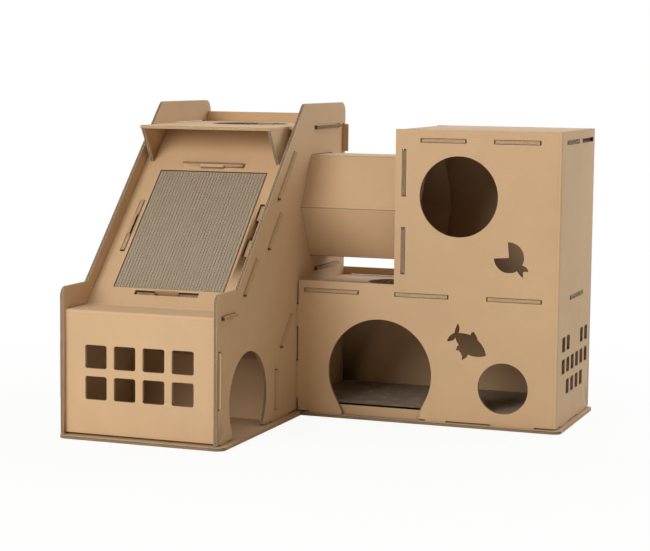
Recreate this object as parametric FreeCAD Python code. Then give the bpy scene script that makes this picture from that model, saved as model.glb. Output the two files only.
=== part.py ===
import FreeCAD, Part

import math
import os

from FreeCAD import Vector

# A cardboard castle for a cat: a tower with a scratching slope, an L-shaped house and a
# six-sided tunnel between them, all slotted together from folded double-wall board.
#
# Layout frame, in millimetres: x = 0 is the outer face of the tower's right side, y = 0 the
# front edges of the tower's sides, z = 0 the top of the base plates. Every piece is moved to
# the part's own frame when it is written: origin at the bottom centre, front facing -y.

# Board and joints
board = 7.0                   # thickness of the double-wall board
slot_play = 0.3               # room on each side of a tab in its slot
seat_play = 0.3               # room between a slanting edge and what it rests on
tab_stand = 6.0               # how far the tower's tabs stand out of its sides
house_tab_stand = 1.0         # the same on the house, where they end almost flush
fold_round = 4.0              # outside radius of a fold
foot_gap = 2.0                # daylight under a wall, between its foot tabs

# Heights above the base plates
storey_height = 280.0         # top of the house's middle floor
tunnel_rise = 65.0            # from the middle floor to the tunnel's underside
tunnel_height = 229.0         # the tunnel across its flats, outside
roof_headroom = 66.0          # from the tunnel's top to the top of both roofs
crest_rise = 50.0             # tower sides above the tower's roof
rear_rise = 23.0              # tower's rear panel above the roof
parapet_height = 312.0        # low front part of the tower's sides
shelf_drop = 47.0             # slide sheet's shelf below the parapet
floor_step = 29.0             # tower's upper floor below the tunnel's underside
partition_height = 133.0      # upright front of the inner ramp sheet

# Tower
tower_width = 356.0
tower_depth = 760.0
parapet_depth = 110.0         # level run of the parapet before the slope
slope_angle = 45.0
slide_sink = 30.0             # slide sheet below the sloping edge of the sides
wall_setback = 10.0           # front wall behind the front edges of the sides
front_wall_gap = 5.0          # daylight under the front wall
rear_inset = 11.0             # rear panel in from the back edges of the sides
parapet_corner = 20.0
crest_front_corner = 25.0
crest_back_corner = 25.0
partition_setback = 320.0     # upright front of the inner ramp sheet from y = 0
awning_setback = 12.0         # full-width roof behind the sloping edge of the sides
awning_reach = 140.0          # awning in front of the slope, at roof height
awning_inset_left = 13.0      # awning and its flaps in from the inner side faces
awning_inset_right = 18.0
flap_length = 119.0           # lower edge of a flap, down the slope
tower_door_y = 168.0
tower_door_z = 72.0
tower_door_radius = 103.0
door_side_angle = 26.0        # lean of the straight sides of both arched doors

# Square windows in the front wall
window_size = 49.5
window_pitch = 66.0
window_middle_z = 135.0
window_shift = -1.0           # middle of the windows to the right of the tower's centre
window_columns = 4
window_rows = 2
window_corner = 5.0

# Round holes
round_door_radius = 88.0      # in the tower's roof and in the house's upper front
round_vent_radius = 56.0      # in the house's lower front and lower roof
roof_door_back = 142.0        # tower roof's hole, centre to the rear panel

# Tabs of the tower's sheets, measured along each panel from the fold before it
wall_tab = (76.0, 194.0)
shelf_tab = (15.0, 84.0)
slide_tabs = ((47.0, 145.0), (315.0, 454.0))
partition_tab = (25.0, 114.0)
ramp_tab = (40.0, 131.0)
upper_floor_tab = (31.0, 181.0)     # from the rear panel
roof_tab = (20.0, 188.0)            # from the rear panel
rear_tabs = ((120.0, 220.0), (575.0, 639.0))
rear_tab_reach = (5.5, 12.0)  # how far they stand out of the right side

# Scratching pad in the slope, measured along the slope from its lower fold
pad_width = 254.0
pad_length = 334.0
pad_thickness = 25.0
pad_start = 52.0
pad_shift = 4.0               # pad centre to the right of the tower's centre
pad_play = 1.0
pad_sink = 1.5                # pad's face below the slide sheet's face
tray_strips = (10.0, 11.0, 7.0, 14.0)   # left, right, lower, upper: opening to slot
tray_slot = 10.5              # width of the slots for the tray's tongues
tray_tongue = 146.0
tray_stands = (3.0, -3.5, -3.5, 8.5)    # the same order: tongues above the slide sheet
tray_upper_shift = -6.0       # upper tongue to the right of the tray's middle
lock_length = 56.0
lock_reach = 6.0              # locking lip past the edge of its slot
lock_rise = 7.5               # top of a lip above the slide sheet
shelf_start = 160.0           # support sheet under the tray, along the slope
shelf_end = 345.0
support_tab = (202.0, 303.0)

# Tunnel and house
tunnel_play = 0.4
tunnel_in_tower = 20.0        # end of the tunnel past the tower side's inner face
tunnel_in_house = 24.0        # end of the tunnel past the house wall's inner face
tunnel_strip_front = 13.0     # board left in front of and behind the tunnel's hole
tunnel_strip_back = 26.0
tunnel_seam = 30.0            # overlap strip inside the tunnel's lower back face
back_step = 7.0               # house's back face behind the tower's
house_gap = 4.0               # house front's left edge to the tower
step_x = 228.0                # left edge of the house's upper storey
upper_width = 371.0
lower_lip = 18.0              # lower front's top edge above the middle floor
side_wall_inset = 16.0        # upper left wall in from the front's left edge
lid_flange = 27.0             # folded edges of the upper roof
lid_relief = 9.0              # corner notch between two folded edges

house_door_x = 197.0
house_door_z = 99.0
house_door_radius = 120.0
upper_door_x = 144.0          # centre from the upper storey's left edge
upper_door_drop = 144.0       # centre below the roof
vent_x = 120.0                # centre from the house's right face
vent_z = 83.0
roof_vent_x = 158.0
roof_vent_y = 198.0           # centre behind the house's inner front face

# Small windows in the house's right side: which columns each row has, from the top
side_window_width = 29.0
side_window_height = 33.0
side_window_pitch = 43.8
side_window_row = 48.5
side_window_top = 196.0
side_window_shift = 5.0
side_window_corner = 4.0
side_window_rows = ((0, 1, 4, 5), (0, 1, 2, 3, 4, 5), (1, 2, 3, 4))
side_window_columns = 6

# Tabs of the house's sheets: centre and length
front_edge_tabs = ((72.5, 87.0), (218.0, 52.0))
floor_tab_left = (82.0, 126.0)
floor_tab_step = (63.5, 121.0)      # centre from the upper storey's left edge
floor_tab_right = (99.0, 120.0)     # centre from the house's right face
floor_tab_side = (161.0, 130.0)     # centre behind the inner front face
lid_front_tabs = ((108.0, 101.0), (273.0, 101.0))   # from the upper storey's left edge
lid_side_tabs = ((97.0, 116.0), (240.0, 109.0))     # behind the inner front face
wall_tab_rise = 85.5          # upper left wall's tabs, above and below the tunnel's centre
wall_tab_length = 101.0
wall_foot_tabs = ((50.0, 60.0), (253.0, 60.0))      # behind the inner front face

# Foot tabs, which stand in the base plates' slots: centre and length
side_feet = ((40.0, 40.0), (350.0, 100.0), (620.0, 120.0))
rear_feet = (80.0, 70.0)            # centre from the tower's middle, length
house_front_feet = ((70.0, 80.0), (328.0, 50.0))
house_front_foot_right = (97.0, 100.0)              # from the house's right face
house_back_feet = ((110.0, 100.0), (300.0, 100.0))
house_sill_slot = 150.0       # empty slot in the base across the front door
house_side_feet = ((80.0, 80.0), (240.0, 80.0))     # behind the outer front face

# Base plates and floor pad
base_margin = 6.0             # tower plate, at its left and front
base_margin_house = 10.0      # house plate, at its right and front
base_margin_back = 6.0
base_split = 16.0             # seam between the two plates
base_corner = 18.0
base_corner_tower = 20.0
seam_play = 0.3
floor_pad_gap = 6.0
floor_pad_thickness = 25.0

# Worked out from the values above
lean = math.radians(slope_angle)
run = math.cos(lean)
climb = math.sin(lean)
tunnel_side = tunnel_height / math.sqrt(3.0)
tunnel_bottom = storey_height + tunnel_rise
tunnel_z = tunnel_bottom + tunnel_height / 2.0
roof_top = tunnel_bottom + tunnel_height + roof_headroom
roof_under = roof_top - board
tower_top = roof_top + crest_rise
tower_mid = -tower_width / 2.0
window_middle_x = tower_mid + window_shift
left_in = board - tower_width
right_in = -board
shelf_top = parapet_height - shelf_drop
upper_floor_top = tunnel_bottom - floor_step
rear_face = tower_depth - rear_inset - board
crest_y = parapet_depth + (tower_top - parapet_height) * run / climb

house_back = tower_depth + back_step
house_back_in = house_back - board
tunnel_y = house_back_in - tunnel_strip_back - tunnel_side
house_front_in = tunnel_y - tunnel_side - tunnel_strip_front
house_front = house_front_in - board
house_right = step_x + upper_width
house_right_in = house_right - board
wall_left = step_x + side_wall_inset
wall_right = wall_left + board

# The slide sheet's lower fold: the slope lies slide_sink under the sides' sloping edge
fold_z = shelf_top
fold_y = parapet_depth + (slide_sink + (shelf_top - parapet_height) * run) / climb
slope_end = (roof_under - fold_z) / climb

tray_floor_depth = pad_sink + pad_thickness
pad_x = tower_mid + pad_shift


def outline_wire(points, place):
    """Closed wire through (u, v, radius) corners; place maps u and v into space."""
    corners = []
    for index, (u, v, radius) in enumerate(points):
        before = points[index - 1]
        after = points[(index + 1) % len(points)]
        here = Vector(u, v, 0)
        back = (Vector(before[0], before[1], 0) - here).normalize()
        ahead = (Vector(after[0], after[1], 0) - here).normalize()
        if radius <= 0:
            corners.append((here, here, here))
            continue
        half = back.getAngle(ahead) / 2.0
        reach = radius / math.tan(half)
        middle = here + (back + ahead).normalize() * (radius / math.sin(half) - radius)
        corners.append((here + back * reach, middle, here + ahead * reach))
    edges = []
    for index, (start, middle, end) in enumerate(corners):
        if start != end:
            arc = Part.Arc(place(start), place(middle), place(end))
            edges.append(arc.toShape())
        following = corners[(index + 1) % len(corners)][0]
        edges.append(Part.makeLine(place(end), place(following)))
    return Part.Wire(edges)


def plain(points):
    """The same corners, all sharp."""
    return [(u, v, 0) for u, v in points]


def prism_yz(points, x0, x1):
    wire = outline_wire(points, lambda p: Vector(x0, p.x, p.y))
    return Part.Face(wire).extrude(Vector(x1 - x0, 0, 0))


def prism_xz(points, y0, y1):
    wire = outline_wire(points, lambda p: Vector(p.x, y0, p.y))
    return Part.Face(wire).extrude(Vector(0, y1 - y0, 0))


def prism_xy(points, z0, z1):
    wire = outline_wire(points, lambda p: Vector(p.x, p.y, z0))
    return Part.Face(wire).extrude(Vector(0, 0, z1 - z0))


def block(x0, x1, y0, y1, z0, z1):
    return Part.makeBox(x1 - x0, y1 - y0, z1 - z0, Vector(x0, y0, z0))


def rectangle(u0, u1, v0, v1, radius=0.0):
    return [(u0, v0, radius), (u1, v0, radius), (u1, v1, radius), (u0, v1, radius)]


def span(tab):
    """Start and end of a tab that is given by its centre and length."""
    centre, length = tab
    return centre - length / 2.0, centre + length / 2.0


def joined(body, pieces):
    return body.fuse(pieces).removeSplitter()


def cut_out(body, tools):
    return body.cut(tools).removeSplitter()


def hexagon(centre_y, centre_z, across):
    """Corners of a hexagon that lies on a flat, in the yz plane."""
    side = across / math.sqrt(3.0)
    corners = []
    for step in range(6):
        turn = math.radians(60 * step)
        corners.append((centre_y + side * math.cos(turn), centre_z + side * math.sin(turn)))
    return plain(corners)


def arched_door(centre, height, radius, place, depth):
    """Cutting solid for a round-topped door whose straight sides lean in to the floor."""
    turn = math.radians(door_side_angle)
    half = radius * math.cos(turn)
    knee = height - radius * math.sin(turn)
    below = -foot_gap
    foot = half - (knee - below) * math.tan(turn)
    left_knee = place(Vector(centre - half, knee, 0))
    right_knee = place(Vector(centre + half, knee, 0))
    top = place(Vector(centre, height + radius, 0))
    left_foot = place(Vector(centre - foot, below, 0))
    right_foot = place(Vector(centre + foot, below, 0))
    edges = [Part.makeLine(left_foot, left_knee),
             Part.Arc(left_knee, top, right_knee).toShape(),
             Part.makeLine(right_knee, right_foot),
             Part.makeLine(right_foot, left_foot)]
    return Part.Face(Part.Wire(edges)).extrude(depth)


def slope_point(along, deep):
    """A point of the slope's section: along it from the lower fold, and deep under its face."""
    return (fold_y + along * run + deep * climb, fold_z + along * climb - deep * run)


def slope_block(along0, along1, deep0, deep1, x0, x1):
    corners = [slope_point(along0, deep0), slope_point(along1, deep0),
               slope_point(along1, deep1), slope_point(along0, deep1)]
    return prism_yz(plain(corners), x0, x1)


# Openings and slots that several pieces share

def tower_tab_x():
    return -tower_width - tab_stand, tab_stand


def slide_bars(play):
    """The slide sheet's tabs as bars right across the tower, grown by the play."""
    x0, x1 = tower_tab_x()
    wall = block(x0, x1, wall_setback - play, wall_setback + board + play,
                 wall_tab[0] - play, wall_tab[1] + play)
    shelf = block(x0, x1, wall_setback + shelf_tab[0] - play, wall_setback + shelf_tab[1] + play,
                  shelf_top - board - play, shelf_top + play)
    slopes = [slope_block(start - play, end + play, -play, board + play, x0, x1)
              for start, end in slide_tabs]
    return [wall, shelf] + slopes


def support_bar(play):
    x0, x1 = tower_tab_x()
    deep = tray_floor_depth + board
    return slope_block(support_tab[0] - play, support_tab[1] + play,
                       deep - play, deep + board + play, x0, x1)


def ramp_top_y():
    """Where the ramp's face meets the upper floor's."""
    return partition_setback + (upper_floor_top - partition_height) * run / climb


def ramp_bars(play):
    x0, x1 = tower_tab_x()
    partition = block(x0, x1, partition_setback - play, partition_setback + board + play,
                      partition_tab[0] - play, partition_tab[1] + play)
    corners = []
    for along, deep in ((ramp_tab[0] - play, -play), (ramp_tab[1] + play, -play),
                        (ramp_tab[1] + play, board + play), (ramp_tab[0] - play, board + play)):
        corners.append((partition_setback + along * run + deep * climb,
                        partition_height + along * climb - deep * run))
    ramp = prism_yz(plain(corners), x0, x1)
    floor = block(x0, x1, rear_face - upper_floor_tab[1] - play,
                  rear_face - upper_floor_tab[0] + play,
                  upper_floor_top - board - play, upper_floor_top + play)
    return [partition, ramp, floor]


def roof_bar(play):
    x0, x1 = tower_tab_x()
    return block(x0, x1, rear_face - roof_tab[1] - play, rear_face - roof_tab[0] + play,
                 roof_under - play, roof_top + play)


def rear_bars(play):
    x0 = tower_tab_x()[0]
    return [block(x0, reach, rear_face - play, rear_face + board + play, low - play, high + play)
            for (low, high), reach in zip(rear_tabs, rear_tab_reach)]


def tower_side_feet(x0, play):
    """Foot tabs of one side panel, down to the underside of the base plate."""
    return [block(x0 - play, x0 + board + play, start - play, end + play,
                  -board, foot_gap + board)
            for start, end in map(span, side_feet)]


def rear_panel_feet(play):
    offset, length = rear_feet
    feet = []
    for centre in (tower_mid - offset, tower_mid + offset):
        start, end = span((centre, length))
        feet.append(block(start - play, end + play, rear_face - play, rear_face + board + play,
                          -board, foot_gap + board))
    return feet


def front_edge_bars(play):
    """Tabs on the left edge of the house's front, into the tower's right side."""
    return [block(-board - tab_stand, house_gap + board, house_front - play,
                  house_front_in + play, start - play, end + play)
            for start, end in map(span, front_edge_tabs)]


def floor_spans_x():
    """The middle floor's tabs along the house's front and back."""
    step_centre, step_length = floor_tab_step
    right_centre, right_length = floor_tab_right
    return [span(floor_tab_left), span((step_x + step_centre, step_length)),
            span((house_right - right_centre, right_length))]


def floor_bars(play):
    low = storey_height - board - play
    high = storey_height + play
    bars = [block(start - play, end + play, house_front - house_tab_stand,
                  house_back + house_tab_stand, low, high)
            for start, end in floor_spans_x()]
    start, end = span(floor_tab_side)
    bars.append(block(house_right_in - board, house_right + house_tab_stand,
                      house_front_in + start - play, house_front_in + end + play, low, high))
    return bars


def lid_bars(play):
    """The upper roof's tabs, turned out of the lower edges of its flanges."""
    low = roof_top - lid_flange - play
    high = roof_top - lid_flange + board + play
    bars = []
    for centre, length in lid_front_tabs:
        start, end = span((step_x + centre, length))
        bars.append(block(start - play, end + play, house_front - house_tab_stand,
                          house_front_in + board, low, high))
        bars.append(block(start - play, end + play, house_back_in - board,
                          house_back + house_tab_stand, low, high))
    for start, end in map(span, lid_side_tabs):
        bars.append(block(house_right_in - board, house_right + house_tab_stand,
                          house_front_in + start - play, house_front_in + end + play, low, high))
    return bars


def upper_wall_bars(play):
    """Tabs of the upper left wall, through the house's front and back."""
    bars = []
    for rise in (-wall_tab_rise, wall_tab_rise):
        start, end = span((tunnel_z + rise, wall_tab_length))
        bars.append(block(wall_left - play, wall_right + play, house_front - house_tab_stand,
                          house_back + house_tab_stand, start - play, end + play))
    return bars


def upper_wall_feet(play):
    """Tabs of the upper left wall, down through the middle floor."""
    return [block(wall_left - play, wall_right + play, house_front_in + start - play,
                  house_front_in + end + play, storey_height - board - house_tab_stand,
                  storey_height + board)
            for start, end in map(span, wall_foot_tabs)]


def house_front_foot_spans():
    centre, length = house_front_foot_right
    return list(map(span, house_front_feet)) + [span((house_right - centre, length))]


def house_back_foot_spans():
    return list(map(span, house_back_feet)) + house_front_foot_spans()[-1:]


def wall_feet_x(spans, y0, play):
    return [block(start - play, end + play, y0 - play, y0 + board + play,
                  -board, foot_gap + board)
            for start, end in spans]


def house_side_foot_blocks(play):
    return [block(house_right_in - play, house_right + play, house_front + start - play,
                  house_front + end + play, -board, foot_gap + board)
            for start, end in map(span, house_side_feet)]


def tunnel_hole(x0, x1):
    """Cutting solid for a wall that the tunnel passes."""
    return prism_yz(hexagon(tunnel_y, tunnel_z, tunnel_height + 2.0 * tunnel_play), x0, x1)


# Tower

def tower_side(x0):
    """One side panel, with a slot for each tab of the sheets between the sides."""
    outline = [(0, foot_gap, 0), (tower_depth, foot_gap, 0),
               (tower_depth, tower_top, crest_back_corner),
               (crest_y, tower_top, crest_front_corner),
               (parapet_depth, parapet_height, 0), (0, parapet_height, parapet_corner)]
    panel = prism_yz(outline, x0, x0 + board)
    panel = joined(panel, tower_side_feet(x0, 0.0))
    slots = slide_bars(slot_play) + ramp_bars(slot_play) + rear_bars(slot_play)
    slots += [support_bar(slot_play), roof_bar(slot_play)]
    return cut_out(panel, slots)


def tower_left_side():
    return tower_side(-tower_width)


def tower_right_side():
    door = arched_door(tower_door_y, tower_door_z, tower_door_radius,
                       lambda p: Vector(-board, p.x, p.y), Vector(board, 0, 0))
    tools = [door, tunnel_hole(-board, 0.0)] + front_edge_bars(slot_play)
    return cut_out(tower_side(-board), tools)


def front_windows():
    windows = []
    for column in range(window_columns):
        x = window_middle_x + (column - (window_columns - 1) / 2.0) * window_pitch
        for row in range(window_rows):
            z = window_middle_z + (row - (window_rows - 1) / 2.0) * window_pitch
            half = window_size / 2.0
            outline = rectangle(x - half, x + half, z - half, z + half, window_corner)
            windows.append(prism_xz(outline, wall_setback, wall_setback + board))
    return windows


def tray_slot_sides():
    """Low side of the slot for each of the tray's walls, across x or along the slope."""
    left, right, lower, upper = tray_strips
    x_low = pad_x - pad_width / 2.0 - pad_play
    x_high = pad_x + pad_width / 2.0 + pad_play
    low = pad_start - pad_play
    high = pad_start + pad_length + pad_play
    return {"left": x_low - left - tray_slot, "right": x_high + right,
            "lower": low - lower - tray_slot, "upper": high + upper}


def tray_middle():
    """Centre of the tray across x and along the slope."""
    slots = tray_slot_sides()
    return ((slots["left"] + slots["right"] + tray_slot) / 2.0,
            (slots["lower"] + slots["upper"] + tray_slot) / 2.0)


def tray_slots():
    """Cutting solids for the tray's tongues, in the slide sheet."""
    slots = tray_slot_sides()
    middle_x, middle_s = tray_middle()
    half = tray_tongue / 2.0 + slot_play
    deep = (-board, 2.0 * board)
    tools = [slope_block(middle_s - half, middle_s + half, deep[0], deep[1],
                         slots[side], slots[side] + tray_slot) for side in ("left", "right")]
    for end, shift in (("lower", 0.0), ("upper", tray_upper_shift)):
        tools.append(slope_block(slots[end], slots[end] + tray_slot, deep[0], deep[1],
                                 middle_x + shift - half, middle_x + shift + half))
    return tools


def slide_sheet():
    """Front wall, shelf and slope in one folded sheet."""
    top = slope_point(slope_end, 0)
    wall_in = wall_setback + board
    under = shelf_top - board
    inner_fold = fold_y + board * (1.0 - run) / climb
    inner_top = (roof_under - under) * run / climb + inner_fold
    section = [(wall_setback, front_wall_gap, 0), (wall_setback, shelf_top, fold_round),
               (fold_y, shelf_top, 0), (top[0], top[1], 0), (inner_top, roof_under, 0),
               (inner_fold, under, fold_round), (wall_in, under, 0),
               (wall_in, front_wall_gap, 0)]
    sheet = prism_yz(section, left_in, right_in)
    sheet = joined(sheet, slide_bars(0.0))
    opening = slope_block(pad_start - pad_play, pad_start + pad_length + pad_play,
                          -board, 2.0 * board, pad_x - pad_width / 2.0 - pad_play,
                          pad_x + pad_width / 2.0 + pad_play)
    return cut_out(sheet, front_windows() + [opening] + tray_slots())


def slope_pad():
    return slope_block(pad_start, pad_start + pad_length, pad_sink, tray_floor_depth,
                       pad_x - pad_width / 2.0, pad_x + pad_width / 2.0)


def pad_tray():
    """Folded tray under the pad; its four tongues come up through the slide sheet's slots."""
    slots = tray_slot_sides()
    middle_x, middle_s = tray_middle()
    play = slot_play
    floor_top = tray_floor_depth
    floor_under = tray_floor_depth + board
    wall_top = board + seat_play
    x_left = slots["left"] + tray_slot - board - play
    x_right = slots["right"] + tray_slot - play
    s_lower = slots["lower"] + play
    s_upper = slots["upper"] + play + board
    half = tray_tongue / 2.0
    tray = slope_block(s_lower, s_upper, floor_top, floor_under, x_left, x_right)
    half_lock = lock_length / 2.0
    stand_left, stand_right, stand_lower, stand_upper = tray_stands
    pieces = []
    for x0, stand in ((x_left, stand_left), (x_right - board, stand_right)):
        pieces.append(slope_block(s_lower, s_upper, wall_top, floor_top, x0, x0 + board))
        pieces.append(slope_block(middle_s - half, middle_s + half, -stand, wall_top,
                                  x0, x0 + board))
        pieces.append(slope_block(middle_s - half_lock, middle_s + half_lock, -lock_rise,
                                  wall_top, x0, x0 + board))
        pieces.append(slope_block(middle_s - half_lock, middle_s + half_lock, -lock_rise,
                                  -seat_play, x0, x0 + board + play + lock_reach))
    for s0, stand, shift in ((s_lower, stand_lower, 0.0),
                             (s_upper - board, stand_upper, tray_upper_shift)):
        centre = middle_x + shift
        pieces.append(slope_block(s0, s0 + board, wall_top, floor_top, x_left, x_right))
        pieces.append(slope_block(s0, s0 + board, -stand, wall_top,
                                  centre - half, centre + half))
        pieces.append(slope_block(s0, s0 + board, -lock_rise, wall_top,
                                  centre - half_lock, centre + half_lock))
        pieces.append(slope_block(s0 - play - lock_reach, s0 + board, -lock_rise, -seat_play,
                                  centre - half_lock, centre + half_lock))
    return joined(tray, pieces)


def pad_support():
    """Flat sheet across the tower that carries the tray."""
    deep = tray_floor_depth + board
    sheet = slope_block(shelf_start, shelf_end, deep, deep + board, left_in, right_in)
    return joined(sheet, [support_bar(0.0)])


def tower_roof():
    """Roof with a round door and a forward awning, whose two side flaps fold down."""
    meet = fold_y + (roof_top - fold_z) * run / climb
    front = meet - awning_reach
    edge = parapet_depth + (roof_top - parapet_height) * run / climb + awning_setback
    flap_left = left_in + awning_inset_left
    flap_right = right_in - awning_inset_right
    roof = block(left_in, right_in, edge, rear_face, roof_under, roof_top)
    awning = block(flap_left, flap_right, front, edge, roof_under, roof_top)
    lift = seat_play / climb
    tip = (meet - flap_length * run, roof_top - flap_length * climb)
    outline = plain([(front, roof_top), (meet - lift, roof_top),
                     (tip[0], tip[1] + lift)])
    flaps = [prism_yz(outline, flap_left, flap_left + board),
             prism_yz(outline, flap_right - board, flap_right)]
    roof = joined(roof, [awning, roof_bar(0.0)] + flaps)
    hole = Part.makeCylinder(round_door_radius, 3.0 * board,
                             Vector(tower_mid, rear_face - roof_door_back, roof_under - board))
    return cut_out(roof, [hole])


def tower_rear_panel():
    panel = block(left_in, right_in, rear_face, rear_face + board, foot_gap,
                  roof_top + rear_rise)
    return joined(panel, rear_bars(0.0) + rear_panel_feet(0.0))


def inner_ramp():
    """Partition, ramp and upper floor of the tower in one folded sheet."""
    ramp_end = ramp_top_y()
    bend = board * (1.0 - run) / climb
    section = [(partition_setback, 0, 0), (partition_setback, partition_height, 0),
               (ramp_end, upper_floor_top, fold_round), (rear_face, upper_floor_top, 0),
               (rear_face, upper_floor_top - board, 0),
               (ramp_end + bend, upper_floor_top - board, 0),
               (partition_setback + board, partition_height - board * (1.0 - climb) / run, 0),
               (partition_setback + board, 0, 0)]
    sheet = prism_yz(section, left_in, right_in)
    return joined(sheet, ramp_bars(0.0))


def tower_base():
    back = house_back + base_margin_back
    outline = [(-tower_width - base_margin, -base_margin, base_corner_tower),
               (base_split - seam_play, -base_margin, base_corner_tower),
               (base_split - seam_play, back, 0),
               (-tower_width - base_margin, back, base_corner_tower)]
    plate = prism_xy(outline, -board, 0.0)
    slots = tower_side_feet(-tower_width, slot_play) + tower_side_feet(-board, slot_play)
    return cut_out(plate, slots + rear_panel_feet(slot_play))


# Tunnel

def tunnel():
    """Six-sided folded tube with the overlap strip of its seam inside."""
    x0 = -board - tunnel_in_tower
    x1 = wall_right + tunnel_in_house
    tube = prism_yz(hexagon(tunnel_y, tunnel_z, tunnel_height), x0, x1)
    bore = prism_yz(hexagon(tunnel_y, tunnel_z, tunnel_height - 2.0 * board), x0, x1)
    tube = tube.cut(bore)
    inner_side = (tunnel_height - 2.0 * board) / math.sqrt(3.0)
    corner = (tunnel_y + inner_side / 2.0, tunnel_z - tunnel_height / 2.0 + board)
    strip = plain([corner, (corner[0] - tunnel_seam, corner[1]),
                   (corner[0] - tunnel_seam, corner[1] + board / 2.0),
                   (corner[0], corner[1] + board / 2.0)])
    return joined(tube, [prism_yz(strip, x0, x1)])


# House

def open_mouthed_fish():
    """Cutting solid of a round fish with a forked tail, swimming up to the left."""
    radius = 33.5
    centre_x = house_right - 112.0
    centre_z = storey_height + 89.0

    def at(u, v):
        return Vector(centre_x + u, house_front, centre_z + v)

    def rim(degrees):
        turn = math.radians(degrees)
        return at(radius * math.cos(turn), radius * math.sin(turn))

    upper_lip = 95
    lower_lip_angle = 185
    edges = [Part.makeLine(at(0, 0), rim(upper_lip)),
             Part.Arc(rim(upper_lip), rim(30), rim(-28)).toShape(),
             Part.Arc(rim(-28), at(38, -19), at(43.5, -28.5)).toShape(),
             Part.makeLine(at(43.5, -28.5), at(32, -29)),
             Part.makeLine(at(32, -29), at(32, -42)),
             Part.Arc(at(32, -42), at(23.5, -35), rim(-56)).toShape(),
             Part.Arc(rim(-56), rim(-120), rim(lower_lip_angle)).toShape(),
             Part.makeLine(rim(lower_lip_angle), at(0, 0))]
    return Part.Face(Part.Wire(edges)).extrude(Vector(0, board, 0))


def finned_fish():
    """Cutting solid of a finned fish that dives to the right, drawn with short arcs."""
    centre_x = house_right - 197.0
    centre_z = 173.0
    # Each stretch: a point on the way, or None for a straight one, and its end
    stretches = [((-22.5, 38.5), (-24.4, 27)), ((-8, 26), (2.7, 23.7)),
                 ((4.5, 28.5), (8.8, 31.5)), ((15, 24), (19, 13)), ((31, 0), (37.7, -16.4)),
                 ((37.8, -19), (35.5, -20.5)), ((16, -24), (-2, -19.4)),
                 ((-7, -27), (-16.5, -32.3)), ((-16.5, -21.5), (-23.3, -12.7)),
                 (None, (-29.1, -11.8)), ((-27.5, -4.5), (-23.9, 1)),
                 ((-28, 7.6), (-30.8, 15.7)), ((-40, 8.2), (-50.4, 7.4)),
                 ((-43.6, 19.6), (-33.7, 26.6)), ((-31.5, 36.1), (-26.3, 47.4))]

    def at(point):
        return Vector(centre_x + point[0], house_front, centre_z + point[1])

    edges = []
    start = stretches[-1][1]
    for way, end in stretches:
        if way is None:
            edges.append(Part.makeLine(at(start), at(end)))
        else:
            edges.append(Part.Arc(at(start), at(way), at(end)).toShape())
        start = end
    return Part.Face(Part.Wire(edges)).extrude(Vector(0, board, 0))


def house_l(left, right):
    """Outline of the house's L-shaped front and back, between the given edges."""
    return plain([(left, foot_gap), (right, foot_gap), (right, roof_top),
                  (step_x, roof_top), (step_x, storey_height + lower_lip),
                  (left, storey_height + lower_lip)])


def side_windows():
    windows = []
    middle = (house_front + house_back) / 2.0 + side_window_shift
    for row, columns in enumerate(side_window_rows):
        top = side_window_top - row * side_window_row
        for column in columns:
            y = middle + (column - (side_window_columns - 1) / 2.0) * side_window_pitch
            outline = rectangle(y - side_window_width / 2.0, y + side_window_width / 2.0,
                                top - side_window_height, top, side_window_corner)
            windows.append(prism_yz(outline, house_right_in, house_right))
    return windows


def round_cut(x, z, radius):
    return Part.makeCylinder(radius, board, Vector(x, house_front, z), Vector(0, 1, 0))


def house_front_side():
    """L-shaped front and right side in one sheet, folded at the front right corner."""
    front = prism_xz(house_l(house_gap, house_right_in), house_front, house_front_in)
    corner = [(house_right_in, house_front, 0), (house_right, house_front, fold_round),
              (house_right, house_back, 0), (house_right_in, house_back, 0)]
    side = prism_xy(corner, foot_gap, roof_top)
    feet = wall_feet_x(house_front_foot_spans(), house_front, 0.0) + house_side_foot_blocks(0.0)
    sheet = joined(front, [side] + front_edge_bars(0.0) + feet)
    door = arched_door(house_door_x, house_door_z, house_door_radius,
                       lambda p: Vector(p.x, house_front, p.y), Vector(0, board, 0))
    tools = [door, round_cut(step_x + upper_door_x, roof_top - upper_door_drop,
                             round_door_radius),
             round_cut(house_right - vent_x, vent_z, round_vent_radius),
             open_mouthed_fish(), finned_fish()]
    tools += side_windows() + floor_bars(slot_play) + lid_bars(slot_play)
    tools += upper_wall_bars(slot_play)
    return cut_out(sheet, tools)


def house_back_panel():
    """L-shaped back, whose lower left end stands behind the tower's right side."""
    panel = prism_xz(house_l(right_in, house_right_in), house_back_in, house_back)
    panel = joined(panel, wall_feet_x(house_back_foot_spans(), house_back_in, 0.0))
    slots = floor_bars(slot_play) + lid_bars(slot_play) + upper_wall_bars(slot_play)
    return cut_out(panel, slots)


def middle_floor():
    """Lower roof and upper floor in one flat sheet."""
    sheet = block(0, house_right_in, house_front_in, house_back_in,
                  storey_height - board, storey_height)
    sheet = joined(sheet, floor_bars(0.0))
    vent = Part.makeCylinder(round_vent_radius, 3.0 * board,
                             Vector(roof_vent_x, house_front_in + roof_vent_y,
                                    storey_height - 2.0 * board))
    return cut_out(sheet, [vent] + upper_wall_feet(slot_play))


def upper_left_wall():
    wall = block(wall_left, wall_right, house_front_in, house_back_in, storey_height, roof_top)
    wall = joined(wall, upper_wall_bars(0.0) + upper_wall_feet(0.0))
    return cut_out(wall, [tunnel_hole(wall_left, wall_right)])


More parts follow.
